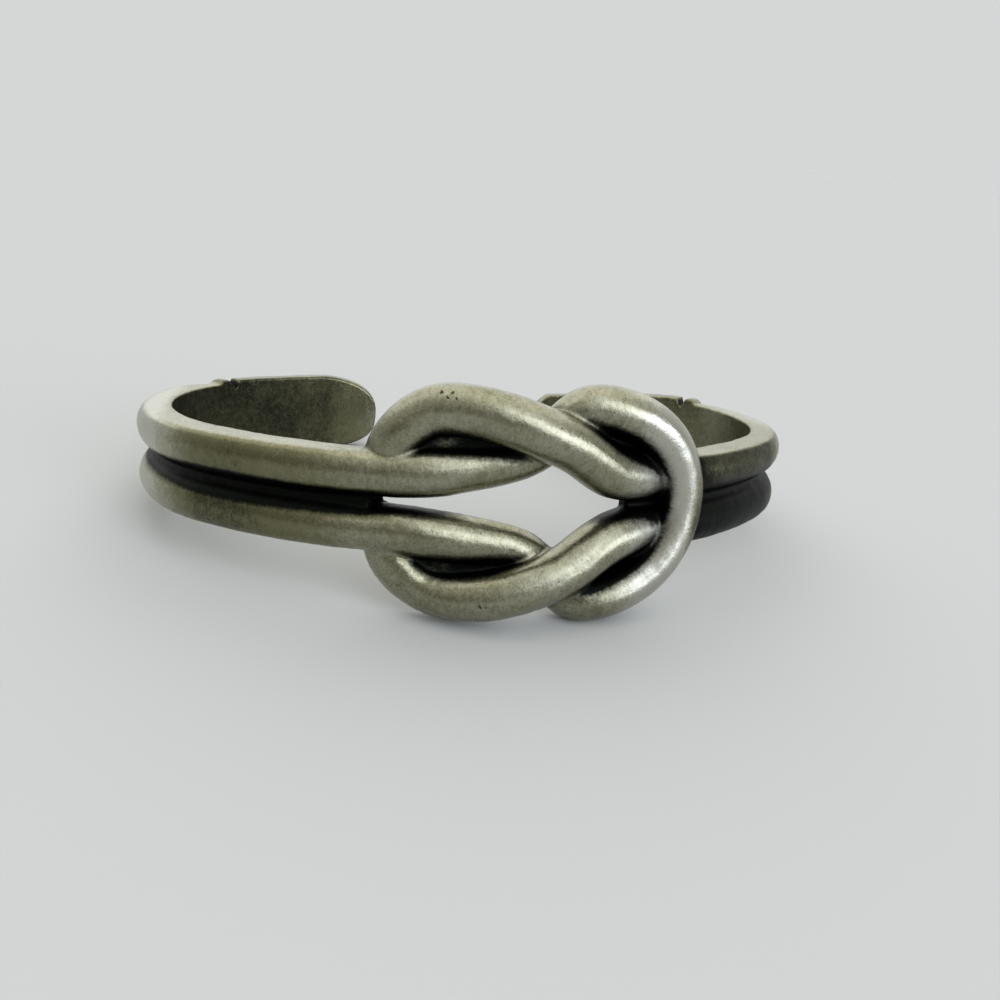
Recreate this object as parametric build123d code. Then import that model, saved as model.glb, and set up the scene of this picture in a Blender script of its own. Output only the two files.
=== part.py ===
"""Knot cuff bracelet: an open pewter cuff with a two-strand reef knot across its front.

The cuff is one casting. Each arm is a pair of rods fused side by side, flat on the wrist side
and dressed flat along both edges. At the front each pair opens into a bight, and the two bights
pass over and under each other like a tied reef knot. Thin floors of metal close the recesses of
the knot, so only the eye in its middle is open. At the back the arms end in thin round tabs.

It is drawn in the wrist frame, in millimetres: Z is the wrist's axis, the knot is at -Y and the
open back at +Y. At the end it is laid on its side as it rests by itself, on the foot of the knot
and the lower edges of the tabs, with its origin at the bottom centre of its box.
"""
from build123d import *
import os
from collections import namedtuple
from math import asin, atan2, cos, degrees, hypot, radians, sin, tan

# Wrist hollow: an oval of four tangent arcs
wrist_width = 56.1
front_reach = 19.3
back_reach = 17.9
side_radius = 14.25

# Twin-rod arms, measured outwards from the wrist side
rod_diameter = 4.24
rod_spacing = 4.46
rod_inset = 0.83
band_height = 7.65
groove_floor = 1.7

# End tabs: each starts at its own turn past the cuff's widest point
tab_height = 8.2
tab_thickness = 1.5
left_tab_turn = 42.0
right_tab_turn = 28.0
left_tab_end = 8.3
right_tab_end = 10.5
ramp_turn = 13.0
ramp_run_on = 4.0
ramp_foot = 0.9
nick_width = 1.0
nick_depth = 0.9
nick_setback = 1.3

# Knot: sizes along the front, up from its middle line, and outwards
strand_diameter = 3.9
knot_reach = 11.9
crown_reach = 5.8
left_loop_reach = 12.7
left_loop_rise = 7.8
right_loop_reach = 11.7
right_loop_rise = 7.35
strand_lift = 2.2
web_thickness = 1.3
web_reach = 12.8
web_rise = 6.9
eye_left = 11.3
eye_right = 8.2
eye_rise = 4.9
eye_shift = 0.6
eye_end_rise = 1.2

# A strand is rooted inside its arm's rod, and leaves it straight
strand_root = 0.8
strand_lead = 2.3

# The knot is dressed a little clear of the wrist, so that the arms touch first
knot_relief = 0.1

half_width = wrist_width / 2
side_centre = half_width - side_radius
half_spacing = rod_spacing / 2
rod_radius = rod_diameter / 2
strand_radius = strand_diameter / 2
band_thickness = rod_inset + rod_radius

# A row of a bight's route: along as a share of knot_reach, rise as a share of the way from the
# rod's height to the loop's, lift as a share of strand_lift
Row = namedtuple("Row", "along rise lift")

# The left bight dips under the right one in the middle of the knot
LEFT_ROUTE = (
    Row(along=-0.65, rise=0.04, lift=0.08),
    Row(along=-0.27, rise=0.16, lift=-0.15),
    Row(along=0.04, rise=0.40, lift=-0.30),
    Row(along=0.27, rise=0.85, lift=0.00),
)

# The right bight comes up from under the left loop and crosses over the left strands
RIGHT_ROUTE = (
    Row(along=-0.74, rise=0.07, lift=0.14),
    Row(along=-0.50, rise=0.20, lift=0.40),
    Row(along=-0.26, rise=0.50, lift=0.60),
    Row(along=-0.04, rise=0.73, lift=0.70),
    Row(along=0.20, rise=0.92, lift=0.60),
)

# Lifts round a loop, from its crown to its end
LEFT_LOOP_LIFTS = (0.35, 0.50, 0.65, 0.70)
RIGHT_LOOP_LIFTS = (0.40, 0.20, -0.05, -0.35, -0.65)


def end_arc(reach):
    """Radius and half angle of the front or back arc, which is tangent to both side arcs."""
    radius = (half_width**2 - 2 * half_width * side_radius + reach**2) / (2 * (reach - side_radius))
    return radius, asin(side_centre / (radius - side_radius))


front_radius, front_half_turn = end_arc(front_reach)
back_radius, back_half_turn = end_arc(back_reach)
front_centre = Vector(0, front_radius - front_reach, 0)
back_centre = Vector(0, back_reach - back_radius, 0)
turn_centre = Vector(side_centre, 0, 0)


def heading(turn):
    """Unit vector in the plan at this angle from +X, in degrees."""
    return Vector(cos(radians(turn)), sin(radians(turn)), 0)


def bent(section, centre, radius, first, last):
    """A section, drawn as outwards by up, bent round a centre from one angle to another."""
    outward = heading(first)
    start = Plane(origin=centre + outward * radius, x_dir=outward, z_dir=outward.cross(Vector(0, 0, 1)))
    return revolve(start * section, Axis(centre, (0, 0, 1)), revolution_arc=last - first)


def slab(low, high, height):
    """Rectangle from one distance outwards to another, of a full height."""
    return Pos((low + high) / 2, 0) * Rectangle(high - low, height)


def arm_section():
    """Two rods side by side with a floor between them, flat inside and along both edges."""
    rods = [Pos(rod_inset, side * half_spacing) * Circle(rod_radius) for side in (-1, 1)]
    floor = slab(0, groove_floor, rod_spacing)
    return (rods[0] + rods[1] + floor) & slab(0, band_thickness, band_height)


def tab_section():
    """Thin plate, taller than the arm's dressed edges."""
    return slab(0, tab_thickness, tab_height)


def ramp(tab_turn):
    """What is dressed off the rods' outer side, so that they run down into the start of the tab."""
    high = turn_centre + heading(tab_turn - ramp_turn) * (side_radius + band_thickness)
    low = turn_centre + heading(tab_turn + ramp_run_on) * (side_radius + ramp_foot)
    run = low - high
    plane = Plane(origin=(high + low) / 2, x_dir=run, z_dir=run.cross(Vector(0, 0, 1)))
    outwards = (Align.CENTER, Align.CENTER, Align.MIN)
    return plane * Box(3 * run.length, 2 * band_height, band_thickness, align=outwards)


def nick(tab_turn):
    """V-shaped nicks across both edges of a tab, a little past its start."""
    turn = tab_turn + degrees(nick_setback / side_radius)
    outward = heading(turn)
    plane = Plane(origin=turn_centre + outward * side_radius, x_dir=heading(turn + 90), z_dir=outward)
    half_tab = tab_height / 2
    cutters = []
    for side in (-1, 1):
        outline = Polygon(
            (0, side * (half_tab - nick_depth)),
            (nick_width, side * (half_tab + nick_depth)),
            (-nick_width, side * (half_tab + nick_depth)),
            align=None,
        )
        cutters.append(extrude(plane * outline, amount=band_thickness, both=True))
    return cutters[0] + cutters[1]


def rounded_end(tab_end):
    """What lies beyond a tab's round end, seen from behind."""
    radius = tab_height / 2
    beyond = Pos(tab_end, 0) * Rectangle(2 * radius, 2 * tab_height)
    outline = Plane.XZ * (beyond - Pos(tab_end + radius, 0) * Circle(radius))
    return Pos(0, back_reach, 0) * extrude(outline, amount=back_reach / 2, both=True)


def arm(tab_turn, tab_end):
    """Right-hand arm from the knot to the end of its tab."""
    knot_turn = degrees(knot_reach / (front_radius + rod_inset))
    side_start = -90 + degrees(front_half_turn)
    side_end = 90 - degrees(back_half_turn)
    end_turn = 90 - degrees(asin(tab_end / back_radius))
    rods = bent(arm_section(), front_centre, front_radius, -90 + knot_turn, side_start)
    rods += bent(arm_section(), turn_centre, side_radius, side_start, tab_turn + ramp_run_on) - ramp(tab_turn)
    tab = bent(tab_section(), turn_centre, side_radius, tab_turn, side_end)
    tab += bent(tab_section(), back_centre, back_radius, side_end, end_turn) - rounded_end(tab_end)
    return rods + (tab - nick(tab_turn))


def on_front(along, rise, out):
    """Point at a distance along the front, up from its middle line, and out from the wrist."""
    turn = along / (front_radius + rod_inset)
    radius = front_radius + out
    return front_centre + Vector(radius * sin(turn), -radius * cos(turn), rise)


def half_route(side, rows, loop_reach, loop_rise, loop_lifts):
    """Upper half of a bight's centre line: from its arm, through the knot, round to its loop's end."""
    root = side * (knot_reach + strand_root)
    start = on_front(root, half_spacing, rod_inset)
    turn = root / (front_radius + rod_inset)
    points = [start, start + Vector(cos(turn), sin(turn), 0) * (-side * strand_lead)]
    for row in rows:
        rise = half_spacing + row.rise * (loop_rise - half_spacing)
        points.append(on_front(-side * row.along * knot_reach, rise, rod_inset + row.lift * strand_lift))
    for step, lift in enumerate(loop_lifts):
        turn = radians(90 - 90 * step / (len(loop_lifts) - 1))
        along = crown_reach + (loop_reach - crown_reach) * cos(turn)
        points.append(on_front(-side * along, loop_rise * sin(turn), rod_inset + lift * strand_lift))
    return points


def half_bight(side, rows, loop_reach, loop_rise, loop_lifts):
    """Upper half of a bight: a round strand from its arm's upper rod to the end of its loop.

    The whole bight comes back to the lower rod. Its path is halved where it crosses the middle
    plane, so that the mirrored halves meet square, and the strand is dressed on the wrist side.
    """
    upper = half_route(side, rows, loop_reach, loop_rise, loop_lifts)
    lower = [Vector(point.X, point.Y, -point.Z) for point in upper]
    points = upper + lower[-2::-1]
    radii = []
    for before, point, after in zip(points, points[1:], points[2:]):
        arriving = point - before
        leaving = after - point
        turn = radians(arriving.get_angle(leaving))
        radii.append(0.45 * min(arriving.length, leaving.length) / tan(turn / 2))
    whole = FilletPolyline(*points, radius=radii)
    print("bight", round(whole.length, 1), "mm long, smallest bend", round(min(radii), 2), "mm")
    path = whole.trim(0, 0.5)
    section = Plane(origin=path @ 0, z_dir=path % 0) * Circle(strand_radius)
    wrist_side = Pos(front_centre) * Cylinder(front_radius + knot_relief, 4 * left_loop_rise)
    return sweep(section, path=path) - wrist_side


def web():
    """Floor of metal between the strands, open at the knot's eye."""
    depth = 2 * front_reach
    outline = Ellipse(web_reach, web_rise)
    eye = Polygon(
        (-eye_left, 0),
        (eye_shift, eye_rise),
        (eye_right, eye_end_rise),
        (eye_right, -eye_end_rise),
        (eye_shift, -eye_rise),
        align=None,
    )
    prism = extrude(Plane.XZ * (outline - eye), amount=depth)
    tall = 4 * web_rise
    shell = Cylinder(front_radius + web_thickness, tall) - Cylinder(front_radius + knot_relief, tall)
    return prism & (Pos(front_centre) * shell)


def knot():
    """Both bights, each the mirror of its upper half, and the web between them."""
    left = half_bight(-1, LEFT_ROUTE, left_loop_reach, left_loop_rise, LEFT_LOOP_LIFTS)
    right = half_bight(1, RIGHT_ROUTE, right_loop_reach, right_loop_rise, RIGHT_LOOP_LIFTS)
    upper = left + right
    return upper + mirror(upper, about=Plane.XY) + web()


def lean(loop_rise, crown_lift):
    """Angle that the cuff leans back on the foot of one loop and the lower edges of the tabs."""
    foot = on_front(crown_reach, -loop_rise, rod_inset + crown_lift * strand_lift)
    span = back_reach + tab_thickness - foot.Y
    drop = -foot.Z - tab_height / 2
    return asin(strand_radius / hypot(span, drop)) + atan2(drop, span)


def laid_down(cuff):
    """The cuff on its side as it rests, on its lower loop and the edges of its tabs."""
    tilt = max(lean(left_loop_rise, LEFT_LOOP_LIFTS[0]), lean(right_loop_rise, RIGHT_LOOP_LIFTS[0]))
    leaning = Rot(-degrees(tilt), 0, 0) * cuff
    box = leaning.bounding_box()
    return Pos(-box.center().X, -box.center().Y, -box.min.Z) * leaning


left_arm = mirror(arm(left_tab_turn, left_tab_end), about=Plane.YZ)
right_arm = arm(right_tab_turn, right_tab_end)
knot_cuff = laid_down(knot() + left_arm + right_arm)

os.makedirs("parts", exist_ok=True)
export_step(knot_cuff, "parts/knot_cuff.step")
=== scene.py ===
"""Knot cuff bracelet in antiqued pewter, resting on its side on a plain pale floor.

The cuff is one casting: two arms of twin fused rods, a two-strand reef knot across the front and
two thin round tabs at the open back. Its rods, tabs, strands and web are shaped as closed shells in
millimetres in the wrist frame, where Z is the wrist's axis and the knot is at -Y. They are fused
into one skin, which is made a little uneven and laid down as the cuff rests.
"""
import logging
from collections.abc import Iterable
from dataclasses import dataclass, field
from enum import Enum
from math import asin, cos, pi, radians, sin, sqrt

import bmesh
import bpy
import numpy as np
from bmesh.types import BMesh
from bpy.types import NodeSocket as Socket
from mathutils import Matrix, Vector, noise
from mathutils.bvhtree import BVHTree
from mathutils.kdtree import KDTree

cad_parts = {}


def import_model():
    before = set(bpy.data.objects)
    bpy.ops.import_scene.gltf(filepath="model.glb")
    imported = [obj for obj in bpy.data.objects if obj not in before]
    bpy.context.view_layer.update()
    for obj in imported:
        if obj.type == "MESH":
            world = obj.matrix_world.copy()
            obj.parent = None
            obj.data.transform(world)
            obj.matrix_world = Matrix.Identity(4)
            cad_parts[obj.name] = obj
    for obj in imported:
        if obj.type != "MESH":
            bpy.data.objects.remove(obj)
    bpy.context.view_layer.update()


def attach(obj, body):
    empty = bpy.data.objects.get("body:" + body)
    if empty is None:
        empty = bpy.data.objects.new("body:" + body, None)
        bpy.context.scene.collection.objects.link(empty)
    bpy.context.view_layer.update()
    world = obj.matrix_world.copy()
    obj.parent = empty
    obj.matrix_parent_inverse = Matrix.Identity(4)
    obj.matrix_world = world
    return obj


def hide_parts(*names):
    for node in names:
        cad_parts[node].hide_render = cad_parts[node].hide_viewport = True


MM = 0.001
UP = Vector((0.0, 0.0, 1.0))
WINDOW_TINT = (0.92, 0.98, 1.10)
LOG = logging.getLogger("knot_cuff")


class Side(Enum):
    """Which arm a piece belongs to; the value is the sign of its X."""

    LEFT = -1
    RIGHT = 1


@dataclass(frozen=True)
class Arc:
    """One arc of the plan, in millimetres and radians from +X."""

    centre: Vector
    radius: float
    first: float
    last: float

    def point(self, turn: float, out: float = 0.0, rise: float = 0.0) -> Vector:
        """Point at an angle, out from the arc and up from the middle line.

        Args:
            turn: Angle from +X in radians.
            out: Distance outwards from the arc.
            rise: Height above the middle line.

        Returns:
            The point in the wrist frame.
        """
        reach = self.radius + out
        return self.centre + Vector((reach * cos(turn), reach * sin(turn), rise))

    def part(self, first: float, last: float) -> "Arc":
        """The same arc between other angles."""
        return Arc(self.centre, self.radius, first, last)


@dataclass(frozen=True)
class WristOval:
    """Plan of the wrist hollow: an oval of four tangent arcs."""

    width: float = 56.1
    front_reach: float = 19.3
    back_reach: float = 17.9
    side_radius: float = 14.25

    @property
    def side_centre(self) -> float:
        """Distance of a side arc's centre from the middle."""
        return self.width / 2 - self.side_radius

    def end_arc(self, reach: float) -> tuple[float, float]:
        """Radius and half angle of the front or back arc.

        Args:
            reach: How far that arc reaches from the middle.

        Returns:
            Its radius, and half the angle that it turns through.
        """
        half = self.width / 2
        radius = (half**2 - 2 * half * self.side_radius + reach**2) / (2 * (reach - self.side_radius))
        return radius, asin(self.side_centre / (radius - self.side_radius))

    @property
    def front(self) -> Arc:
        """Right half of the front arc, from the middle of the knot to the side."""
        radius, half_turn = self.end_arc(self.front_reach)
        return Arc(Vector((0, radius - self.front_reach, 0)), radius, -pi / 2, -pi / 2 + half_turn)

    @property
    def side(self) -> Arc:
        """Right side arc."""
        back_turn = self.end_arc(self.back_reach)[1]
        centre = Vector((self.side_centre, 0, 0))
        return Arc(centre, self.side_radius, self.front.last, pi / 2 - back_turn)

    @property
    def back(self) -> Arc:
        """Right half of the back arc, from the side to the middle of the opening."""
        radius = self.end_arc(self.back_reach)[0]
        return Arc(Vector((0, self.back_reach - radius, 0)), radius, self.side.last, pi / 2)


@dataclass(frozen=True)
class Band:
    """Sizes that the arms, the strands and the web share."""

    oval: WristOval = field(default_factory=WristOval)
    rod_diameter: float = 4.24
    rod_spacing: float = 4.46
    rod_inset: float = 0.83
    height: float = 7.65
    knot_reach: float = 11.9
    relief: float = 0.1
    arris: float = 0.28

    @property
    def rod_radius(self) -> float:
        """Radius of a rod."""
        return self.rod_diameter / 2

    @property
    def rod_rise(self) -> float:
        """Height of the upper rod's middle above the middle line."""
        return self.rod_spacing / 2

    @property
    def front_radius(self) -> float:
        """Radius of the rods' middles across the front."""
        return self.oval.front.radius + self.rod_inset


class Shells:
    """Closed shells that are fused into one casting, with the lines that they follow."""

    def __init__(self) -> None:
        """Starts with nothing cast."""
        self.bm = bmesh.new()
        self.lines: list[list[Vector]] = []

    def add(self, part: BMesh) -> None:
        """Adds a closed shell and frees it.

        Args:
            part: The shell, in millimetres in the wrist frame.
        """
        mesh = bpy.data.meshes.new("shell")
        part.to_mesh(mesh)
        part.free()
        self.bm.from_mesh(mesh)
        bpy.data.meshes.remove(mesh)

    def follow(self, points: Iterable[Vector]) -> None:
        """Keeps a rod's or strand's centre line, which the brush marks go across."""
        self.lines.append([Vector(point) for point in points])


def sweep(section: Iterable[Vector], arcs: Iterable[Arc], step: float) -> BMesh:
    """Closed shell made by spinning a section through tangent arcs.

    Args:
        section: Outline of the section, as out and rise from the arcs.
        arcs: The arcs in order.
        step: Longest step along the arcs.

    Returns:
        The shell, capped at both ends.
    """
    bm = bmesh.new()
    arcs = list(arcs)
    ring = [bm.verts.new(arcs[0].point(arcs[0].first, spot.x, spot.y)) for spot in section]
    edges = [bm.edges.new(pair) for pair in zip(ring, ring[1:] + ring[:1])]
    geometry = ring + edges
    for arc in arcs:
        turn = arc.last - arc.first
        spun = bmesh.ops.spin(
            bm,
            geom=geometry,
            cent=arc.centre,
            axis=UP,
            dvec=(0, 0, 0),
            angle=turn,
            steps=max(2, round(turn * arc.radius / step)),
            use_merge=False,
            use_duplicate=False,
        )
        geometry = spun["geom_last"]
    rims = [edge for edge in bm.edges if edge.is_boundary]
    bmesh.ops.holes_fill(bm, edges=rims, sides=0)
    bmesh.ops.recalc_face_normals(bm, faces=bm.faces)
    return bm


def limited(value: float, limit: float, blend: float) -> float:
    """Keeps a value between both signs of a limit, with a soft corner.

    Args:
        value: The value.
        limit: Most that it may be.
        blend: How far from the limit the corner starts.

    Returns:
        The limited value.
    """
    size = abs(value)
    if size >= limit + blend:
        size = limit
    elif size > limit - blend:
        size -= (size - limit + blend) ** 2 / (4 * blend)
    return size if value > 0 else -size


def rising(values: np.ndarray, start: float, run: float | np.ndarray) -> np.ndarray:
    """From 0 up to a start to 1 from the end of a run on, in a straight line between.

    Args:
        values: Where to read it.
        start: Value at which it leaves 0.
        run: How much further on it reaches 1.

    Returns:
        One number from 0 to 1 for each value.
    """
    return np.clip((values - start) / run, 0, 1)


def to_side(bm: BMesh, side: Side) -> BMesh:
    """Turns a right-hand shell into one for this side.

    Args:
        bm: Shell of the right arm.
        side: Where it goes.

    Returns:
        The same shell, mirrored for the left arm.
    """
    if side is Side.LEFT:
        bmesh.ops.scale(bm, vec=(-1, 1, 1), verts=bm.verts)
        bmesh.ops.reverse_faces(bm, faces=bm.faces)
    return bm


@dataclass
class Arm:
    """One arm: twin rods fused side by side, run down into a thin round tab with a nick in each edge.

    Angles are in degrees round the side arc, and the tab's end is its distance from the middle of
    the cuff's opening.
    """

    side: Side
    band: Band
    tab_turn: float
    tab_end: float
    tab_height: float
    tab_round: float
    tab_taper: float
    tab_bluntness: float
    lower_bluntness: float = 3.0
    taper_setback: float = 2.0
    tip_half: float = 0.05
    tab_thickness: float = 1.5
    tab_ease: float = 0.8
    groove_floor: float = 1.7
    floor_reach: float = 12.1
    thin_from: float = 17.0
    thin_to: float = 10.4
    thinning: float = 0.17
    flush: float = 0.001
    ramp_turn: float = 13.0
    ramp_run_on: float = 4.0
    ramp_foot: float = 0.9
    nick_width: float = 1.1
    nick_depth: float = 1.15
    nick_setback: float = 1.9
    burr_rise: float = 0.10
    burr_width: float = 0.6
    rod_facets: int = 64
    step: float = 0.25
    tab_steps: int = 3

    @property
    def thickness(self) -> float:
        """How far the rods stand out from the wrist side."""
        return self.band.rod_inset + self.band.rod_radius

    def rod_arcs(self, reach: float) -> list[Arc]:
        """The arcs from near the knot to where the rods end under the tab.

        Args:
            reach: How far from the knot's middle they start.

        Returns:
            The arcs in order.
        """
        oval = self.band.oval
        start = oval.front.first + reach / self.band.front_radius
        stop = radians(self.tab_turn + self.ramp_run_on)
        return [oval.front.part(start, oval.front.last), oval.side.part(oval.side.first, stop)]

    def back_arc(self) -> Arc:
        """The part of the back arc that the tab takes."""
        back = self.band.oval.back
        return back.part(back.first, pi / 2 - asin(self.tab_end / back.radius))

    def dress_rod(self, bm: BMesh) -> None:
        """Dresses a rod flat along the band's edges, and down the ramp to the tab.

        Args:
            bm: The rod's shell.
        """
        side = self.band.oval.side
        high = side.point(radians(self.tab_turn - self.ramp_turn), self.thickness)
        low = side.point(radians(self.tab_turn + self.ramp_run_on), self.ramp_foot)
        normal = (low - high).cross(UP).normalized()
        for vert in bm.verts:
            vert.co.z = limited(vert.co.z, self.band.height / 2, self.band.arris)
            vert.co -= normal * max(0.0, (vert.co - high).dot(normal))

    def thin_rod(self, bm: BMesh, rise: float) -> None:
        """Thins a rod a little towards the knot, where the eye's slit begins.

        What lies flush with the wrist side stays flush.

        Args:
            bm: The rod's shell.
            rise: Height of its middle.
        """
        centre = self.band.oval.front.centre
        for vert in bm.verts:
            near = min(1.0, max(0.0, (self.thin_from - vert.co.x) / (self.thin_from - self.thin_to)))
            if near == 0 or vert.co.y > 0:
                continue
            scale = 1 - self.thinning * near**2 * (3 - 2 * near) / self.band.rod_radius
            flat = Vector((vert.co.x - centre.x, vert.co.y - centre.y, 0))
            out = flat.length - self.band.front_radius
            if out > self.flush - self.band.rod_inset:
                flat *= (self.band.front_radius + out * scale) / flat.length
            vert.co = Vector((centre.x + flat.x, centre.y + flat.y, rise + (vert.co.z - rise) * scale))

    def rods(self, shells: Shells) -> None:
        """Adds both rods and the floor of the groove between them.

        Args:
            shells: What the casting is fused from.
        """
        radius = self.band.rod_radius
        for rise in (-self.band.rod_rise, self.band.rod_rise):
            section = []
            for index in range(self.rod_facets):
                turn = 2 * pi * index / self.rod_facets
                out = self.band.rod_inset + radius * cos(turn)
                section.append(Vector((max(0.0, out), rise + radius * sin(turn))))
            rod = sweep(section, self.rod_arcs(self.band.knot_reach), self.step)
            self.thin_rod(rod, rise)
            self.dress_rod(rod)
            shells.add(to_side(rod, self.side))
        corners = ((0.0, -1), (0.0, 1), (self.groove_floor, 1), (self.groove_floor, -1))
        section = [Vector((out, sign * self.band.rod_rise)) for out, sign in corners]
        floor = sweep(section, self.rod_arcs(self.floor_reach), self.step)
        self.dress_rod(floor)
        shells.add(to_side(floor, self.side))

    def centre_line(self, rise: float, reach: float) -> list[Vector]:
        """A rod's centre line, run on to the end of the tab.

        Args:
            rise: Its height above the middle line.
            reach: How far from the knot's middle it starts.

        Returns:
            Points along it, on this arm's side.
        """
        points = []
        for arc in (self.rod_arcs(reach)[0], self.band.oval.side, self.back_arc()):
            steps = max(2, round((arc.last - arc.first) * arc.radius / self.step))
            for index in range(steps):
                turn = arc.first + (arc.last - arc.first) * index / steps
                point = arc.point(turn, self.band.rod_inset, rise)
                points.append(Vector((point.x * self.side.value, point.y, point.z)))
        return points

    def tab_half_height(self, along: float, across: float, bluntness: float) -> float:
        """Half height of the tab: full, nicked near its start and round at its end.

        Args:
            along: Distance past the tab's start.
            across: Distance from the middle of the cuff's opening.
            bluntness: Power of the end's curve: 2 is an ellipse, more is squarer.

        Returns:
            Half of the tab's height there.
        """
        half = self.tab_height / 2
        beside = along - self.nick_setback
        burr_place = (beside + self.nick_width / 2 + self.burr_width) / self.burr_width
        notch = max(0.0, 1 - abs(beside) / (self.nick_width / 2))
        ease = max(0.0, 1 - along / self.tab_ease) ** 2
        height = half + self.burr_rise * max(0.0, 1 - burr_place**2) - self.nick_depth * notch
        height -= (half - self.band.height / 2) * ease
        taper_from = self.band.oval.width / 2 - self.taper_setback
        height -= self.tab_taper * max(0.0, taper_from - across)
        past = (self.tab_end + self.tab_round - across) / self.tab_round
        if past > 0:
            height = min(height, half * max(0.0, 1 - past**bluntness) ** (1 / bluntness) + self.tip_half)
        return height

    def tab(self, shells: Shells) -> None:
        """Adds the tab.

        Args:
            shells: What the casting is fused from.
        """
        half = self.tab_height / 2
        start = radians(self.tab_turn)
        side = self.band.oval.side
        corners = ((0.0, -half), (0.0, half), (self.tab_thickness, half), (self.tab_thickness, -half))
        section = [Vector(corner) for corner in corners]
        tab = sweep(section, [side.part(start, side.last), self.back_arc()], self.step / self.tab_steps)
        for vert in tab.verts:
            offset = vert.co - side.centre
            along = side.radius * (np.arctan2(offset.y, offset.x) - start)
            if vert.co.z > 0:
                vert.co.z = self.tab_half_height(along, vert.co.x, self.tab_bluntness)
            else:
                vert.co.z = -self.tab_half_height(along, vert.co.x, self.lower_bluntness)
        shells.add(to_side(tab, self.side))


@dataclass(frozen=True)
class Row:
    """One place on a bight's route.

    Along is a share of the knot's reach, away from the bight's own arm. Rise is a share of the way
    from the rod's height to the loop's, lift a share of the strand's lift, and girth the strand's
    thickness in millimetres.
    """

    along: float
    rise: float
    lift: float
    girth: float


@dataclass
class Bight:
    """One bight of the knot: a round strand from an arm's upper rod, round its loop, to the lower rod."""

    side: Side
    band: Band
    rows: tuple[Row, ...]
    loop_lifts: tuple[float, ...]
    loop_reach: float
    loop_rise: float
    crown_reach: float
    loop_girth: float
    hidden_girths: tuple[float, ...] = ()
    strand_lift: float = 2.2
    strand_root: float = 0.8
    strand_lead: float = 2.3
    root_thinning: float = 0.14
    lead_thinning: float = 0.17
    trim_reach: float = 2.2
    trim_slack: float = 0.7
    curve_steps: int = 14
    bevel_steps: int = 10
    weld: float = 0.001

    @property
    def root_reach(self) -> float:
        """How far from the knot's middle the strand grows out of the rod."""
        return self.band.knot_reach + self.strand_root

    def spot(self, along: float, rise: float, lift: float) -> Vector:
        """Point on the front of the cuff.

        Args:
            along: Distance along the front from the knot's middle.
            rise: Height above the middle line.
            lift: Share of the strand's lift out of the band.

        Returns:
            The point in the wrist frame.
        """
        turn = -pi / 2 + along / self.band.front_radius
        return self.band.oval.front.point(turn, self.band.rod_inset + lift * self.strand_lift, rise)

    def half_route(self) -> list[tuple[Vector, float]]:
        """Route of the upper half, from the arm to the loop's end.

        Returns:
            Control points of the curve, each with the strand's radius there.
        """
        side = self.side.value
        low = self.band.rod_rise
        rod = self.band.rod_radius
        root = side * self.root_reach
        lead = self.spot(root - side * self.strand_lead, low, 0)
        route = [(self.spot(root, low, 0), rod - self.root_thinning), (lead, rod - self.lead_thinning)]
        for row in self.rows:
            rise = low + row.rise * (self.loop_rise - low)
            place = self.spot(-side * row.along * self.band.knot_reach, rise, row.lift)
            route.append((place, row.girth / 2))
        shown = len(self.loop_lifts) - len(self.hidden_girths)
        girths = [self.loop_girth] * shown + list(self.hidden_girths)
        for step, (lift, girth) in enumerate(zip(self.loop_lifts, girths)):
            turn = pi / 2 - pi / 2 * step / (len(self.loop_lifts) - 1)
            along = self.crown_reach + (self.loop_reach - self.crown_reach) * cos(turn)
            route.append((self.spot(-side * along, self.loop_rise * sin(turn), lift), girth / 2))
        return route

    def drawn(self, bevel: float) -> bpy.types.Mesh:
        """The whole route, drawn as a smooth curve.

        Args:
            bevel: 1 for the round strand, or 0 for the bare line.

        Returns:
            The curve's mesh.
        """
        upper = self.half_route()
        lower = [(Vector((point.x, point.y, -point.z)), radius) for point, radius in upper[-2::-1]]
        curve = bpy.data.curves.new("strand", "CURVE")
        curve.dimensions = "3D"
        curve.resolution_u = self.curve_steps
        curve.bevel_depth = bevel
        curve.bevel_resolution = self.bevel_steps
        curve.use_fill_caps = True
        spline = curve.splines.new("NURBS")
        spline.points.add(len(upper + lower) - 1)
        for target, (point, radius) in zip(spline.points, upper + lower):
            target.co = (*point, 1.0)
            target.radius = radius
        spline.order_u = 4
        spline.use_endpoint_u = True
        made = bpy.data.objects.new("strand", curve)
        mesh = bpy.data.meshes.new_from_object(made)
        bpy.data.objects.remove(made)
        bpy.data.curves.remove(curve)
        return mesh

    def dress_strand(self, bm: BMesh) -> None:
        """Dresses the strand flat on its wrist side, and down to the arm's height at its root.

        Args:
            bm: The strand's shell.
        """
        front = self.band.oval.front
        inner = front.radius + self.band.relief
        for vert in bm.verts:
            flat = Vector((vert.co.x - front.centre.x, vert.co.y - front.centre.y))
            if flat.length < inner:
                flat = flat.normalized() * inner
                vert.co.x = front.centre.x + flat.x
                vert.co.y = front.centre.y + flat.y
            beside = self.side.value * vert.co.x
            root = (beside - self.band.knot_reach + self.trim_reach) / self.trim_reach
            if root > 0:
                limit = self.band.height / 2 + self.trim_slack * max(0.0, 1 - root) ** 2
                vert.co.z = limited(vert.co.z, limit, self.band.arris)

    def strand(self, shells: Shells) -> list[Vector]:
        """Adds the strand.

        Args:
            shells: What the casting is fused from.

        Returns:
            Points along its centre line.
        """
        bm = bmesh.new()
        mesh = self.drawn(1.0)
        bm.from_mesh(mesh)
        bmesh.ops.remove_doubles(bm, verts=bm.verts, dist=self.weld)
        self.dress_strand(bm)
        shells.add(bm)
        line = self.drawn(0.0)
        points = [vert.co.copy() for vert in line.vertices]
        for spare in (mesh, line):
            bpy.data.meshes.remove(spare)
        return points


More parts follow.
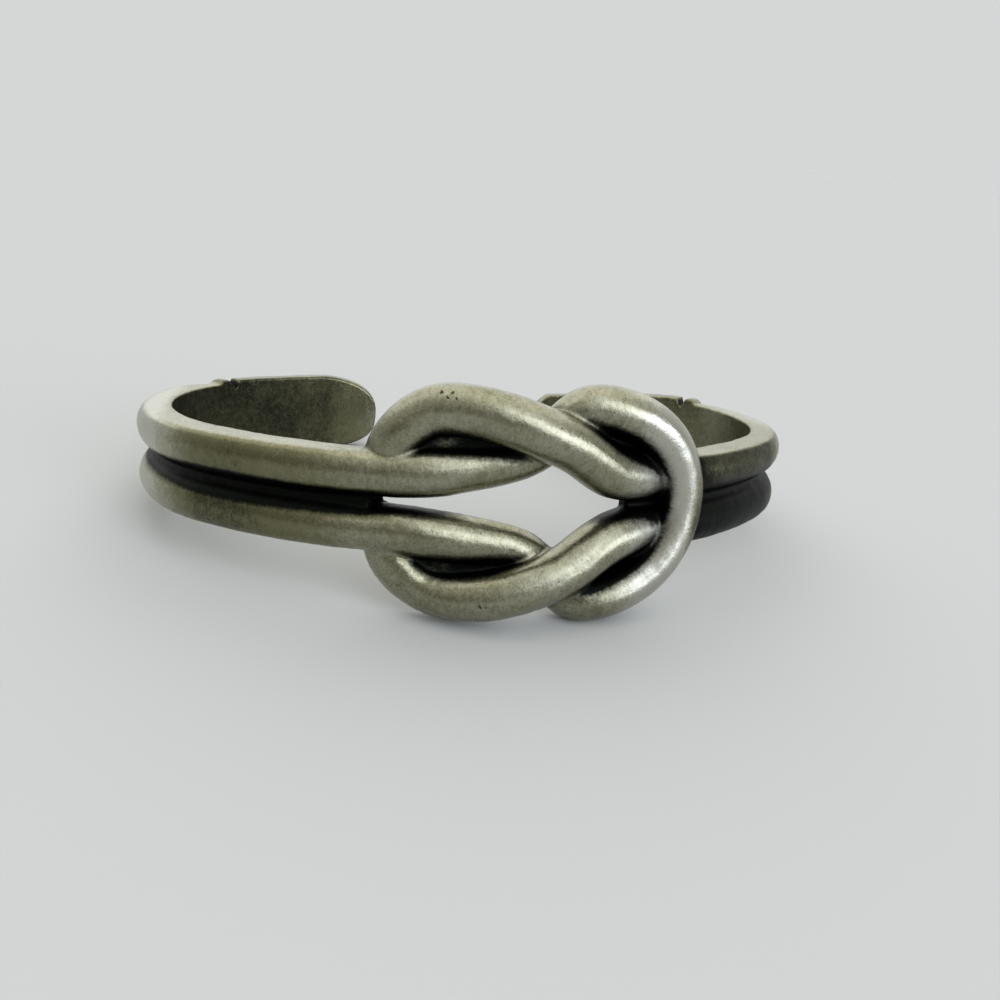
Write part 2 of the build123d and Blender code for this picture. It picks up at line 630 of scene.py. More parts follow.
@dataclass
class Web:
    """Floor of metal between the strands, open at the knot's eye."""

    band: Band
    thickness: float = 1.3
    reach: float = 12.8
    rise: float = 6.9
    eye_left: float = 12.7
    eye_right: float = 8.2
    eye_rise: float = 4.9
    eye_shift: float = 0.6
    eye_end_rise: float = 1.2
    cell: float = 0.3

    def in_eye(self, along: float, rise: float) -> bool:
        """Whether a place on the front lies in the eye.

        Args:
            along: Distance along the front from the knot's middle.
            rise: Height above the middle line.

        Returns:
            True inside the eye's outline.
        """
        if along < -self.eye_left or along > self.eye_right:
            return False
        if along < self.eye_shift:
            limit = self.eye_rise * (along + self.eye_left) / (self.eye_shift + self.eye_left)
        else:
            share = (along - self.eye_shift) / (self.eye_right - self.eye_shift)
            limit = self.eye_rise + (self.eye_end_rise - self.eye_rise) * share
        return abs(rise) < limit

    def plate(self, shells: Shells) -> None:
        """Adds the plate, bent to the front of the cuff.

        Args:
            shells: What the casting is fused from.
        """
        bm = bmesh.new()
        across = round(2 * self.reach / self.cell)
        bmesh.ops.create_grid(bm, x_segments=across, y_segments=across, size=1.0)
        bmesh.ops.scale(bm, vec=(self.reach, self.rise, 1), verts=bm.verts)
        spare = []
        for face in bm.faces:
            spot = face.calc_center_median()
            beyond = (spot.x / self.reach) ** 2 + (spot.y / self.rise) ** 2 > 1
            if beyond or self.in_eye(spot.x, spot.y):
                spare.append(face)
        bmesh.ops.delete(bm, geom=spare, context="FACES")
        made = bmesh.ops.extrude_face_region(bm, geom=list(bm.faces), use_keep_orig=True)
        lifted = [item for item in made["geom"] if isinstance(item, bmesh.types.BMVert)]
        bmesh.ops.translate(bm, vec=(0, 0, self.thickness - self.band.relief), verts=lifted)
        front = self.band.oval.front
        for vert in bm.verts:
            turn = -pi / 2 + vert.co.x / self.band.front_radius
            vert.co = front.point(turn, self.band.relief + vert.co.z, vert.co.y)
        bmesh.ops.recalc_face_normals(bm, faces=bm.faces)
        shells.add(bm)


@dataclass
class Casting:
    """The cuff's one skin: its shells fused, softened, made uneven and laid down.

    The lean is in degrees, back from the knot, which is taller than the arms, and the shift is in
    millimetres.
    """

    lean: float = 8.1014
    shift: Vector = field(default_factory=lambda: Vector((0.0, 2.8255, 6.6176)))
    voxel: float = 0.15
    softening: float = 0.5
    smoothing: int = 8
    most_triangles: int = 196000
    hand_wave: float = 0.035
    hand_scale: float = 0.45
    fine_wave: float = 0.5
    fine_scale: float = 2.6

    def turned(self) -> Matrix:
        """The turn from the wrist frame to how the cuff lies."""
        return Matrix.Rotation(-radians(self.lean), 4, "X")

    def rest_matrix(self) -> Matrix:
        """From millimetres in the wrist frame to metres where the cuff rests."""
        return Matrix.Scale(MM, 4) @ Matrix.Translation(self.shift) @ self.turned()

    def fused(self, shells: Shells) -> BMesh:
        """Fuses the shells into one closed skin.

        Args:
            shells: What the casting is fused from.

        Returns:
            The skin, in millimetres in the wrist frame.
        """
        mesh = bpy.data.meshes.new("fused")
        shells.bm.to_mesh(mesh)
        raw = bpy.data.objects.new("fused", mesh)
        bpy.context.scene.collection.objects.link(raw)
        remesh = raw.modifiers.new("fuse", "REMESH")
        remesh.mode = "VOXEL"
        remesh.voxel_size = self.voxel
        soften = raw.modifiers.new("soften", "SMOOTH")
        soften.factor = self.softening
        soften.iterations = self.smoothing
        graph = bpy.context.evaluated_depsgraph_get()
        dense = raw.evaluated_get(graph).to_mesh()
        triangles = sum(len(face.vertices) - 2 for face in dense.polygons)
        if triangles > self.most_triangles:
            thin = raw.modifiers.new("thin", "DECIMATE")
            thin.ratio = self.most_triangles / triangles
            graph = bpy.context.evaluated_depsgraph_get()
        done = bpy.data.meshes.new_from_object(raw.evaluated_get(graph))
        LOG.info("fused skin: %d triangles, %d after thinning", triangles, len(done.polygons))
        bm = bmesh.new()
        bm.from_mesh(done)
        bpy.data.objects.remove(raw)
        bpy.data.meshes.remove(mesh)
        bpy.data.meshes.remove(done)
        return bm

    def uneven(self, skin: BMesh) -> None:
        """Makes the skin a little uneven, as a hand-finished casting is.

        Args:
            skin: The fused skin, in millimetres in the wrist frame.
        """
        skin.normal_update()
        moves = []
        for vert in skin.verts:
            wave = noise.noise(vert.co * self.hand_scale)
            wave += self.fine_wave * noise.noise(vert.co * self.fine_scale * self.hand_scale)
            moves.append(vert.normal * (self.hand_wave * wave))
        for vert, move in zip(skin.verts, moves):
            vert.co += move
        skin.normal_update()


@dataclass
class SurfaceMaps:
    """What the finish reads from the skin: how open, how worn and which way brushed each place is, with a
    painted shade in the openness and a painted highlight in the wear.

    Places are in millimetres in the wrist frame. Fields whose names end in from and run say where a
    change starts and how far it goes on.
    """

    rays: int = 40
    reach: float = 4.5
    start: float = 0.03
    grazing: float = 0.25
    blurs: int = 2
    crossing_shade: float = 0.11
    crossing_from: float = 2.0
    crossing_run: float = 4.0
    round_radius: float = 2.2
    line_apart: float = 9.0
    upper_wear: float = 0.42
    lower_wear: float = 0.30
    middle_half: float = 1.0
    side_wear: float = 0.90
    side_from: float = 25.0
    side_run: float = 5.0
    # Makes the right arm darker, most of all its lower rod.
    right_darkening: float = -0.35
    right_upper_share: float = 0.25
    knot_wear: float = 0.76
    bright_to: float = 13.0
    dull_from: float = 22.0
    # The knot's brightness ends sooner on the right, so the right arm beside the loop stays darker.
    dull_from_right: float = 14.5
    # Extra bareness of the left bight's loop: partly wear, partly a painted highlight.
    loop_wear_and_highlight: float = 0.40
    loop_from: float = 6.0
    loop_run: float = 4.0
    groove_half: float = 0.4
    groove_run: float = 0.9
    groove_left: float = 10.0
    groove_left_run: float = 3.0
    inner_wear: float = 0.20
    inner_right_wear: float = 0.46
    inner_run: float = 36.0
    inner_turn: float = 2.0
    oval_stretch: float = 1.5
    tab_end_wear: float = 0.40
    tab_end_from: float = 8.0
    tab_end_run: float = 6.0
    filed_wear: float = 0.84
    filed_from: float = 3.45
    filed_run: float = 0.3
    filed_beside: float = 12.0
    filed_beside_run: float = 2.5
    tab_from: float = 3.95
    tab_filing: float = 0.5

    def rays_about(self, normal: Vector) -> list[Vector]:
        """Evenly spread directions over the half sphere about a normal.

        Args:
            normal: Unit normal.

        Returns:
            Unit vectors, all on the normal's side.
        """
        turn_to = UP.rotation_difference(normal)
        found = []
        for index in range(self.rays):
            height = (index + 0.5) / self.rays
            turn = index * pi * (3 - sqrt(5))
            reach = sqrt(1 - height * height)
            found.append(turn_to @ Vector((reach * cos(turn), reach * sin(turn), height)))
        return found

    def blurred(self, skin: BMesh, values: np.ndarray) -> np.ndarray:
        """Evens each vertex out with its neighbours.

        Args:
            skin: The skin.
            values: One number for each vertex.

        Returns:
            The softer numbers.
        """
        pairs = np.array([[vert.index for vert in edge.verts] for edge in skin.edges])
        count = np.bincount(pairs.ravel(), minlength=len(values))
        for _ in range(self.blurs):
            beside = np.bincount(pairs[:, 0], values[pairs[:, 1]], len(values))
            beside += np.bincount(pairs[:, 1], values[pairs[:, 0]], len(values))
            values = 0.5 * values + 0.5 * beside / count
        return values

    def openness(self, skin: BMesh) -> np.ndarray:
        """How open each vertex is to its surroundings, made a little less by a painted shade right of the
        knot's middle at the front, where the strands cross.

        Args:
            skin: The skin in millimetres.

        Returns:
            1 in the open, falling towards 0 deep in a crevice.
        """
        tree = BVHTree.FromBMesh(skin)
        found = np.zeros(len(skin.verts))
        for vert in skin.verts:
            spot = vert.co + vert.normal * self.start
            shut = total = 0.0
            for ray in self.rays_about(vert.normal):
                weight = self.grazing + ray.dot(vert.normal)
                total += weight
                distance = tree.ray_cast(spot, ray, self.reach)[3]
                if distance is not None:
                    shut += weight * (1 - (distance / self.reach) ** 2)
            found[vert.index] = 1 - shut / total
        spots = np.array([vert.co for vert in skin.verts])
        # Painted shade: openness is lowered from 2 mm right of the knot's middle across the front, which
        # darkens that side towards black.
        painted_shade_mask = rising(spots[:, 0], self.crossing_from, self.crossing_run) * (spots[:, 1] < 0)
        return self.blurred(skin, found - self.crossing_shade * painted_shade_mask)

    def grain(self, skin: BMesh, lines: list[list[Vector]]) -> tuple[np.ndarray, np.ndarray]:
        """Where each vertex lies on the rod or strand nearest to it, and which way that runs.

        Args:
            skin: The skin in millimetres in the wrist frame.
            lines: Centre lines of the rods and strands.

        Returns:
            Distance along the line, distance round it and a number of its own for each line, and
            the line's direction.
        """
        tree = KDTree(sum(len(line) for line in lines))
        spots = []
        for rank, line in enumerate(lines):
            along = 0.0
            for index, point in enumerate(line):
                ahead = line[min(index + 1, len(line) - 1)]
                behind = line[max(index - 1, 0)]
                along += (point - line[index - 1]).length if index else 0.0
                tree.insert(point, len(spots))
                spots.append((point, (ahead - behind).normalized(), along, rank))
        tree.balance()
        found = np.zeros((len(skin.verts), 3))
        heading = np.zeros((len(skin.verts), 3))
        for vert in skin.verts:
            point, tangent, along, rank = spots[tree.find(vert.co)[1]]
            heading[vert.index] = tangent
            outward = Vector((point.x, point.y, 0))
            outward = (outward - tangent * outward.dot(tangent)).normalized()
            offset = vert.co - point
            turn = np.arctan2(offset.dot(tangent.cross(outward)), offset.dot(outward))
            place = (along + offset.dot(tangent), self.round_radius * turn, self.line_apart * rank)
            found[vert.index] = place
        return found, heading

    def outer_wear_and_highlight(self, spots: np.ndarray) -> np.ndarray:
        """Wear of the outer side, most at the sides and on the knot, with a painted highlight on the left
        bight's loop; the right arm is made darker, its lower rod darkest.

        Args:
            spots: Where the vertices are.

        Returns:
            The wear of each vertex, painted highlight included.
        """
        across, height = spots[:, 0], spots[:, 2]
        beside = np.abs(across)
        below = 1 - rising(height, -self.middle_half, 2 * self.middle_half)
        wear_and_highlight = self.upper_wear + (self.lower_wear - self.upper_wear) * below
        wear_and_highlight += self.side_wear * rising(beside, self.side_from, self.side_run)
        right_share = self.right_upper_share + (1 - self.right_upper_share) * below
        # The right arm is made darker, its lower rod most, and the knot's brightness ends sooner on that
        # side.
        wear_and_highlight += self.right_darkening * right_share * (across > 0)
        dull_from = np.where(across > 0, self.dull_from_right, self.dull_from)
        knot = 1 - rising(beside, self.bright_to, dull_from - self.bright_to)
        # The left bight's loop right of loop_from is made barer: partly wear, partly a painted highlight.
        worn = self.knot_wear + self.loop_wear_and_highlight * rising(across, self.loop_from, self.loop_run)
        wear_and_highlight += (worn - wear_and_highlight) * knot * (spots[:, 1] < 0)
        groove = 1 - rising(np.abs(height), self.groove_half, self.groove_run)
        return wear_and_highlight - groove * rising(-across, self.groove_left, self.groove_left_run)

    def rubbed(self, skin: BMesh) -> np.ndarray:
        """How bare each vertex was rubbed: most on the knot and on the filed edges of the band, with a
        painted highlight on the left bight's loop.

        Args:
            skin: The skin in millimetres in the wrist frame.

        Returns:
            From 0 or less where the antiquing stays to 1 where the metal is bare.
        """
        spots = np.array([vert.co for vert in skin.verts])
        normals = np.array([vert.normal for vert in skin.verts])
        beside = np.abs(spots[:, 0])
        height = np.abs(spots[:, 2])
        wear_and_highlight = self.outer_wear_and_highlight(spots)
        outward = spots[:, :2] * (1, self.oval_stretch)
        outward /= np.linalg.norm(outward, axis=1)[:, None]
        inner = np.clip(-self.inner_turn * (normals[:, :2] * outward).sum(axis=1), 0, 1)
        rightwards = rising(spots[:, 0], -self.inner_run / 2, self.inner_run)
        inside = self.inner_wear + self.inner_right_wear * rightwards
        tab_end = (1 - rising(beside, self.tab_end_from, self.tab_end_run)) * (spots[:, 1] > 0)
        wear_and_highlight += (inside + self.tab_end_wear * tab_end - wear_and_highlight) * inner
        filed = rising(height, self.filed_from, self.filed_run)
        filed *= rising(beside, self.filed_beside, self.filed_beside_run)
        filed *= np.where(height > self.tab_from, self.tab_filing, 1.0)
        return np.maximum(wear_and_highlight, self.filed_wear * filed * np.abs(normals[:, 2]))

    def write(self, mesh: bpy.types.Mesh, values: dict[str, np.ndarray]) -> None:
        """Stores the maps on the finished mesh.

        Args:
            mesh: The mesh that gets the attributes.
            values: Each map by its name, with one number or one vector for each vertex.
        """
        for name, value in values.items():
            kind, key = ("FLOAT", "value") if value.ndim == 1 else ("FLOAT_VECTOR", "vector")
            made = mesh.attributes.new(name, kind, "POINT")
            made.data.foreach_set(key, value.astype(np.float32).ravel())


class Nodes:
    """Short ways to add and join the nodes of one tree."""

    def __init__(self, tree: bpy.types.NodeTree) -> None:
        """Empties the tree.

        Args:
            tree: The node tree to fill.
        """
        self.tree = tree
        tree.nodes.clear()

    def feed(self, socket: Socket, value: object) -> None:
        """Gives a socket its value, or joins another node's output to it.

        Args:
            socket: The input to feed.
            value: A value or an output.
        """
        if isinstance(value, Socket):
            self.tree.links.new(value, socket)
        else:
            socket.default_value = value

    def add(
        self, kind: str, inputs: dict[str | int, object] | None = None, **settings: object
    ) -> bpy.types.Node:
        """Adds a node.

        Args:
            kind: Its type.
            inputs: A value for a socket, or another node's output to join to it.
            settings: Properties of the node.

        Returns:
            The node.
        """
        node = self.tree.nodes.new(kind)
        for name, value in settings.items():
            setattr(node, name, value)
        for name, value in (inputs or {}).items():
            self.feed(node.inputs[name], value)
        return node

    def attribute(self, name: str, output: str = "Fac") -> Socket:
        """Reads one of the surface maps."""
        return self.add("ShaderNodeAttribute", attribute_name=name).outputs[output]

    def scaled(self, place: object, scale: tuple[float, ...]) -> Socket:
        """Scales coordinates."""
        return self.add("ShaderNodeMapping", {"Vector": place, "Scale": scale}).outputs[0]

    def math(self, operation: str, *values: object, clamp: bool = False) -> Socket:
        """Adds a Math node.

        Args:
            operation: Its operation.
            values: Its inputs in order, numbers or outputs.
            clamp: Whether the result stays from 0 to 1.

        Returns:
            Its output.
        """
        node = self.add("ShaderNodeMath", dict(enumerate(values)), operation=operation, use_clamp=clamp)
        return node.outputs[0]

    def plus(self, value: object, share: float, base: object, clamp: bool = False) -> Socket:
        """Adds a share of a value to a base.

        Args:
            value: The output to add.
            share: How much of it.
            base: What it is added to, a number or an output.
            clamp: Whether the sum stays from 0 to 1.

        Returns:
            The sum's output.
        """
        return self.math("MULTIPLY_ADD", value, share, base, clamp=clamp)

    def ramp(self, value: object, low: float, high: float, start: float = 0.0, end: float = 1.0) -> Socket:
        """Turns a stretch of values smoothly into another.

        Args:
            value: The output to read.
            low: What becomes start.
            high: What becomes end.
            start: Result at and below low.
            end: Result at and above high.

        Returns:
            The result's output.
        """
        node = self.add(
            "ShaderNodeMapRange",
            {"Value": value, "From Min": low, "From Max": high, "To Min": start, "To Max": end},
            interpolation_type="SMOOTHSTEP",
        )
        return node.outputs["Result"]

    def blend(self, share: object, first: object, second: object) -> Socket:
        """Mixes two colours.

        Args:
            share: How much of the second, from 0 to 1.
            first: Colour or output.
            second: Colour or output.

        Returns:
            The mixed colour's output.
        """
        node = self.add("ShaderNodeMix", data_type="RGBA")
        for index, value in ((0, share), (6, first), (7, second)):
            self.feed(node.inputs[index], value)
        return node.outputs[2]

    def noise(self, place: object, scale: float, detail: float = 3.0, roughness: float = 0.5) -> Socket:
        """Adds a Noise texture and returns its value."""
        inputs = {"Vector": place, "Scale": scale, "Detail": detail, "Roughness": roughness}
        return self.add("ShaderNodeTexNoise", inputs).outputs["Fac"]


@dataclass(frozen=True)
class Pit:
    """A casting pit that shows in the photograph, in millimetres where the cuff rests."""

    x: float
    y: float
    z: float
    reach: float


@dataclass(frozen=True)
class AntiquedPewter:
    """Pewter that was blackened and rubbed back: satin on the crests, near black where it lies deep."""

    name: str = "antiqued pewter"
    dull: tuple[float, ...] = (0.022, 0.024, 0.017, 1.0)
    olive: tuple[float, ...] = (0.150, 0.145, 0.083, 1.0)
    bare: tuple[float, ...] = (0.340, 0.332, 0.258, 1.0)
    filed: tuple[float, ...] = (0.440, 0.436, 0.380, 1.0)
    black: tuple[float, ...] = (0.003, 0.004, 0.003, 1.0)
    filed_from: float = 0.90
    filed_to: float = 1.10
    deep: float = 0.893
    shallow: float = 1.153
    worn_most: float = 0.8
    worn_lift: float = 0.34
    streak_scale: tuple[float, ...] = (4.6, 1.5, 1.0)
    mottle_scale: float = 1.5
    cloud_scale: float = 0.17
    speck_scale: float = 5.0
    streak_share: float = 0.45
    mottle_share: float = 0.50
    speck_share: float = 0.65
    cloud_on_wear: float = 0.35
    tone_on_wear: float = 0.7
    tone_on_filing: float = 0.6
    tone_on_depth: float = 0.18
    polish: float = 0.20
    speck_roughness: float = 0.18
    patina_roughness: float = 0.15
    patina_matt: float = 0.04
    brushing: float = 0.6
    bump: float = 0.000020
    speck_height: float = 0.9
    streak_height: float = 0.5
    pit_height: float = -2.0
    pit_scale: float = 1.6
    pit_core: float = 0.05
    pit_edge: float = 0.13
    pits_from: float = 0.60
    pits_full: float = 0.66
    ragged_scale: float = 4.0
    raggedness: float = 0.5
    mark_core: float = 0.2
    mark_depth: float = 0.9
    marks: tuple[Pit, ...] = (
        Pit(-7.3, -16.4, 18.1, 0.20),
        Pit(-7.0, -17.0, 17.9, 0.16),
        Pit(-6.6, -16.8, 18.2, 0.22),
        Pit(-6.4, -17.3, 17.9, 0.13),
        Pit(-4.0, -20.8, 2.8, 0.20),
        Pit(-3.6, -20.9, 2.8, 0.15),
        Pit(2.4, -17.5, 17.2, 0.15),
    )

    def material(self) -> bpy.types.Material:
        """Makes the material.

        Returns:
            The finish, for the whole cuff.
        """
        made = bpy.data.materials.new(self.name)
        made.use_nodes = True
        nodes = Nodes(made.node_tree)
        place = nodes.add("ShaderNodeTexCoord").outputs["Object"]
        place = nodes.scaled(place, (1 / MM,) * 3)
        brushed = nodes.scaled(nodes.attribute("grain", "Vector"), self.streak_scale)
        # The rubbed map holds the wear, a painted highlight on the left bight's loop and the darker right
        # arm.
        rubbed = nodes.attribute("rubbed")
        streaks = nodes.noise(brushed, 1.0, 3.0, 0.6)
        mottle = nodes.noise(place, self.mottle_scale, 4.0, 0.6)
        cloud = nodes.noise(place, self.cloud_scale, 2.0, 0.5)
        speck = nodes.noise(place, self.speck_scale, 3.0, 0.7)
        middle = (self.streak_share + self.mottle_share + self.speck_share) / 2
        tone = nodes.plus(streaks, self.streak_share, -middle)
        tone = nodes.plus(mottle, self.mottle_share, tone)
        tone = nodes.plus(speck, self.speck_share, tone)
        pits = self.pits(nodes, place, cloud)
        patina = nodes.math("MAXIMUM", self.patina(nodes, rubbed, tone), pits)
        rough = nodes.plus(speck, self.speck_roughness, self.polish)
        height = nodes.math("MULTIPLY", streaks, self.streak_height)
        height = nodes.plus(pits, self.pit_height, nodes.plus(speck, self.speck_height, height))
        bump = nodes.add("ShaderNodeBump", {"Height": height, "Strength": 1.0, "Distance": self.bump})
        shader = nodes.add(
            "ShaderNodeBsdfPrincipled",
            {
                "Base Color": nodes.blend(patina, self.metal(nodes, rubbed, cloud, tone), self.black),
                "Metallic": nodes.plus(patina, -self.patina_matt, 1.0),
                "Roughness": nodes.plus(patina, self.patina_roughness, rough),
                "Normal": bump.outputs["Normal"],
                "Anisotropic": self.brushing,
                "Tangent": nodes.attribute("heading", "Vector"),
            },
        )
        nodes.add("ShaderNodeOutputMaterial", {"Surface": shader.outputs["BSDF"]})
        return made

    def metal(self, nodes: Nodes, rubbed: Socket, cloud: Socket, tone: Socket) -> Socket:
        """Colour of the metal: dull, olive, bare and then filed, the more it was rubbed.

        Args:
            nodes: The material's tree.
            rubbed: How bare each place was rubbed.
            cloud: Slow noise.
            tone: Mottling, about 0.

        Returns:
            The colour's output.
        """
        share = nodes.math("SUBTRACT", rubbed, self.cloud_on_wear / 2)
        share = nodes.plus(cloud, self.cloud_on_wear, share)
        share = nodes.plus(tone, self.tone_on_wear, share, clamp=True)
        colour = nodes.blend(nodes.ramp(share, 0.0, 0.5), self.dull, self.olive)
        colour = nodes.blend(nodes.ramp(share, 0.5, 1.0), colour, self.bare)
        filing = nodes.plus(tone, self.tone_on_filing, rubbed)
        return nodes.blend(nodes.ramp(filing, self.filed_from, self.filed_to), colour, self.filed)

    def patina(self, nodes: Nodes, rubbed: Socket, tone: Socket) -> Socket:
        """The black that stays where the metal lies deep and was rubbed least, and where a painted shade
        falls right of the knot's middle at the front.

        Args:
            nodes: The material's tree.
            rubbed: How bare each place was rubbed.
            tone: Mottling, about 0.

        Returns:
            1 where it is black and 0 where it is gone.
        """
        worn = nodes.math("MINIMUM", rubbed, self.worn_most)
        depth = nodes.plus(worn, self.worn_lift, nodes.attribute("openness"))
        depth = nodes.plus(tone, self.tone_on_depth, depth)
        return nodes.ramp(depth, self.deep, self.shallow, 1.0, 0.0)

    def pits(self, nodes: Nodes, place: Socket, cloud: Socket) -> Socket:
        """Small casting pits: a few gathered at random, and those that the photograph shows.

        Args:
            nodes: The material's tree.
            place: Coordinates in millimetres.
            cloud: Slow noise that gathers them.

        Returns:
            1 in a pit and 0 elsewhere.
        """
        inputs = {"Vector": place, "Scale": self.pit_scale, "Randomness": 1.0}
        cells = nodes.add("ShaderNodeTexVoronoi", inputs)
        near = nodes.ramp(cells.outputs["Distance"], self.pit_core, self.pit_edge, 1.0, 0.0)
        found = nodes.math("MULTIPLY", near, nodes.ramp(cloud, self.pits_from, self.pits_full))
        ragged = nodes.math("SUBTRACT", nodes.noise(place, self.ragged_scale, 2.0, 0.6), 0.5)
        for mark in self.marks:
            spots = {0: place, 1: (mark.x, mark.y, mark.z)}
            away = nodes.add("ShaderNodeVectorMath", spots, operation="DISTANCE").outputs["Value"]
            away = nodes.plus(ragged, self.raggedness, away)
            pit = nodes.ramp(away, mark.reach * self.mark_core, mark.reach, self.mark_depth, 0.0)
            found = nodes.math("MAXIMUM", found, pit)
        return found


@dataclass(frozen=True)
class PalePaper:
    """Plain pale matt floor."""

    name: str = "pale floor"
    colour: tuple[float, ...] = (0.4578, 0.4663, 0.4667, 1.0)

    def material(self) -> bpy.types.Material:
        """Makes the material.

        Returns:
            The finish, for the floor.
        """
        made = bpy.data.materials.new(self.name)
        made.use_nodes = True
        nodes = Nodes(made.node_tree)
        shader = nodes.add("ShaderNodeBsdfDiffuse", {"Color": self.colour, "Roughness": 0.0})
        nodes.add("ShaderNodeOutputMaterial", {"Surface": shader.outputs["BSDF"]})
        return made


@dataclass(frozen=True)
class SoftLight:
    """One wide, far and even studio light, its azimuth in degrees from the cuff's front to its right."""

    name: str
    azimuth: float
    elevation: float
    spread: float
    strength: float
    colour: tuple[float, float, float] = (1.0, 1.0, 1.0)

    def place(self) -> None:
        """Adds the light."""
        lamp = bpy.data.lights.new(self.name, "SUN")
        lamp.angle = radians(self.spread)
        lamp.energy = self.strength
        lamp.color = self.colour
        turn = radians(self.azimuth)
        lift = radians(self.elevation)
        away = Vector((sin(turn) * cos(lift), -cos(turn) * cos(lift), sin(lift)))
        light = bpy.data.objects.new(self.name, lamp)
        light.matrix_world = away.to_track_quat("Z", "Y").to_matrix().to_4x4()
        light.location = away
        bpy.context.scene.collection.objects.link(light)


@dataclass
class Studio:
    """Pale floor, a room that is brighter behind the cuff, soft lights and the camera.

    The room changes over two stretches of the view's direction, as parts of its unit vector. The
    camera's spot is in millimetres, and its turn in degrees about X, Y and Z.
    """

    floor_radius: float = 40.0
    floor_facets: int = 128
    room_front: tuple[float, ...] = (0.36, 0.355, 0.31, 1.0)
    room_back: tuple[float, ...] = (0.66, 0.68, 0.67, 1.0)
    ceiling: tuple[float, ...] = (0.86, 0.85, 0.76, 1.0)
    back_stretch: tuple[float, float] = (-0.35, 0.25)
    ceiling_stretch: tuple[float, float] = (0.30, 0.95)
    lights: tuple[SoftLight, ...] = (
        SoftLight("window_low", 46, 6, 38, 1.50, WINDOW_TINT),
        SoftLight("window_middle", 26, 34, 34, 0.90, WINDOW_TINT),
        SoftLight("window_high", 20, 60, 34, 0.45, WINDOW_TINT),
        SoftLight("back", 180, 52, 100, 1.60),
    )
    camera_spot: tuple[float, ...] = (-17.30, -70.30, 34.93)
    camera_turn: tuple[float, ...] = (65.53, -6.0, -13.0)
    lens: float = 28.727
    sensor: float = 36.0
    clip_start: float = 0.001

    def floor(self) -> None:
        """Adds the floor."""
        bm = bmesh.new()
        bmesh.ops.create_circle(bm, cap_ends=True, segments=self.floor_facets, radius=self.floor_radius)
        mesh = bpy.data.meshes.new("floor")
        bm.to_mesh(mesh)
        bm.free()
        mesh.materials.append(PalePaper().material())
        floor = bpy.data.objects.new("floor", mesh)
        bpy.context.scene.collection.objects.link(floor)

    def room(self) -> None:
        """Lights the room evenly, with its brighter side behind the cuff."""
        world = bpy.data.worlds.new("room")
        world.use_nodes = True
        nodes = Nodes(world.node_tree)
        facing = nodes.add("ShaderNodeTexCoord").outputs["Generated"]
        facing = nodes.add("ShaderNodeSeparateXYZ", {"Vector": facing}).outputs
        colour = nodes.blend(nodes.ramp(facing["Y"], *self.back_stretch), self.room_front, self.room_back)
        colour = nodes.blend(nodes.ramp(facing["Z"], *self.ceiling_stretch), colour, self.ceiling)
        glow = nodes.add("ShaderNodeBackground", {"Color": colour})
        nodes.add("ShaderNodeOutputWorld", {"Surface": glow.outputs["Background"]})
        bpy.context.scene.world = world

    def camera(self) -> None:
        """Adds the camera at the photograph's angle."""
        lens = bpy.data.cameras.new("camera")
        lens.lens = self.lens
        lens.sensor_width = self.sensor
        lens.clip_start = self.clip_start
        camera = bpy.data.objects.new("camera", lens)
        camera.location = Vector(self.camera_spot) * MM
        camera.rotation_euler = [radians(turn) for turn in self.camera_turn]
        bpy.context.scene.collection.objects.link(camera)
        bpy.context.scene.camera = camera

    def set_up(self) -> None:
        """Sets up everything round the cuff."""
        bpy.context.scene.view_settings.view_transform = "Standard"
        self.floor()
        self.room()
        for light in self.lights:
            light.place()
        self.camera()
        LOG.info("studio: floor, room, camera and %d lights", len(self.lights))


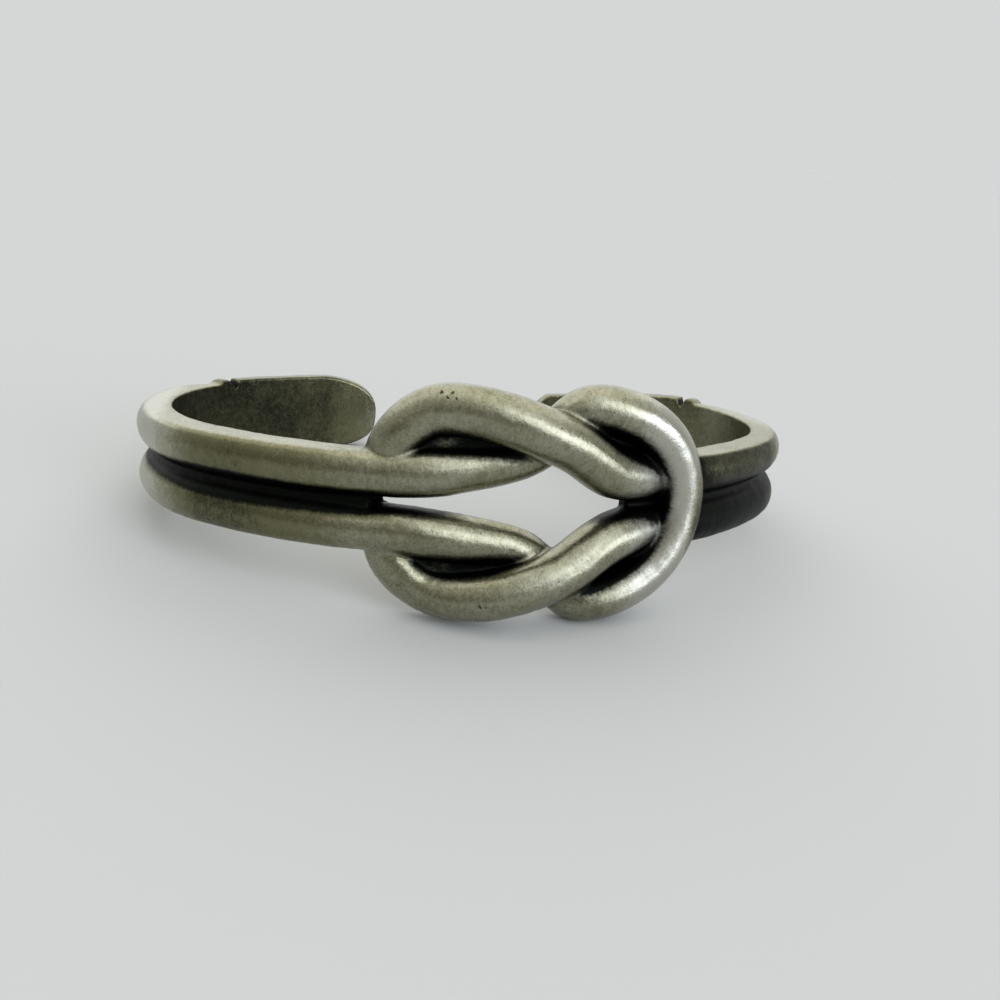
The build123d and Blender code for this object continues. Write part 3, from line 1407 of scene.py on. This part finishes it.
@dataclass
class KnotCuff:
    """The whole bracelet."""

    band: Band = field(default_factory=Band)
    casting: Casting = field(default_factory=Casting)
    maps: SurfaceMaps = field(default_factory=SurfaceMaps)
    finish: AntiquedPewter = field(default_factory=AntiquedPewter)

    def left(self) -> tuple[Arm, Bight]:
        """Sizes of the left half.

        Returns:
            The left arm, and the bight that its rods run into.
        """
        arm = Arm(
            Side.LEFT,
            self.band,
            tab_turn=39.6,
            tab_end=8.2,
            tab_height=8.2,
            tab_round=7.4,
            tab_taper=0.0,
            tab_bluntness=2.1,
        )
        bight = Bight(
            Side.LEFT,
            self.band,
            rows=(
                Row(-0.65, 0.02, 0.17, 3.96),
                Row(-0.27, 0.15, -0.30, 3.64),
                Row(0.04, 0.27, -0.36, 3.54),
                Row(0.27, 0.94, 0.00, 3.62),
            ),
            loop_lifts=(0.37, 0.56, 0.69, 0.72),
            loop_reach=13.05,
            loop_rise=7.92,
            crown_reach=5.3,
            loop_girth=3.74,
        )
        return arm, bight

    def right(self) -> tuple[Arm, Bight]:
        """Sizes of the right half.

        Returns:
            The right arm, and the bight that its rods run into.
        """
        arm = Arm(
            Side.RIGHT,
            self.band,
            tab_turn=25.1,
            tab_end=11.0,
            tab_height=8.5,
            tab_round=9.0,
            tab_taper=0.115,
            tab_bluntness=2.2,
        )
        bight = Bight(
            Side.RIGHT,
            self.band,
            rows=(
                Row(-0.74, 0.01, 0.15, 4.14),
                Row(-0.50, 0.09, 0.44, 4.08),
                Row(-0.26, 0.52, 0.62, 4.03),
                Row(-0.04, 0.70, 0.71, 3.99),
                Row(0.20, 0.91, 0.63, 3.90),
            ),
            loop_lifts=(0.18, -0.25, -0.05, -0.35, -0.70),
            loop_reach=11.85,
            loop_rise=7.5,
            crown_reach=5.9,
            loop_girth=3.84,
            hidden_girths=(3.75, 0.6),
        )
        return arm, bight

    def shells(self) -> Shells:
        """Everything that the casting is fused from.

        Returns:
            The shells, with the centre lines of the rods and strands.
        """
        shells = Shells()
        for arm, bight in (self.left(), self.right()):
            arm.rods(shells)
            arm.tab(shells)
            strand = bight.strand(shells)
            upper = arm.centre_line(self.band.rod_rise, bight.root_reach)
            lower = arm.centre_line(-self.band.rod_rise, bight.root_reach)
            shells.follow(upper[::-1] + strand + lower)
            LOG.info("%s arm and bight shaped", arm.side.name.lower())
        Web(self.band).plate(shells)
        LOG.info("web shaped")
        return shells

    def read_maps(self, skin: BMesh, lines: list[list[Vector]]) -> dict[str, np.ndarray]:
        """Reads the surface maps from the skin.

        Args:
            skin: The skin in millimetres in the wrist frame.
            lines: Centre lines of the rods and strands.

        Returns:
            Each map by the name of its attribute, with headings as the cuff lies.
        """
        grain, heading = self.maps.grain(skin, lines)
        turned = np.array(self.casting.turned().to_3x3())
        return {
            "openness": self.maps.openness(skin),
            "rubbed": self.maps.rubbed(skin),
            "grain": grain,
            "heading": heading @ turned.T,
        }

    def build(self) -> bpy.types.Object:
        """Builds the finished piece.

        Returns:
            The cuff's object.
        """
        shells = self.shells()
        skin = self.casting.fused(shells)
        self.casting.uneven(skin)
        maps = self.read_maps(skin, shells.lines)
        bmesh.ops.transform(skin, matrix=self.casting.rest_matrix(), verts=skin.verts)
        mesh = bpy.data.meshes.new("knot_cuff_skin")
        skin.to_mesh(mesh)
        skin.free()
        shells.bm.free()
        mesh.polygons.foreach_set("use_smooth", [True] * len(mesh.polygons))
        self.maps.write(mesh, maps)
        mesh.materials.append(self.finish.material())
        cuff = bpy.data.objects.new("cuff", mesh)
        bpy.context.scene.collection.objects.link(cuff)
        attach(cuff, "root")
        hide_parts("knot_cuff")
        LOG.info("cuff: %d faces", len(mesh.polygons))
        return cuff


def main() -> None:
    """Builds the cuff and sets the studio."""
    logging.basicConfig(level=logging.INFO, format="%(message)s")
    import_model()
    KnotCuff().build()
    Studio().set_up()


if __name__ == "__main__":
    main()
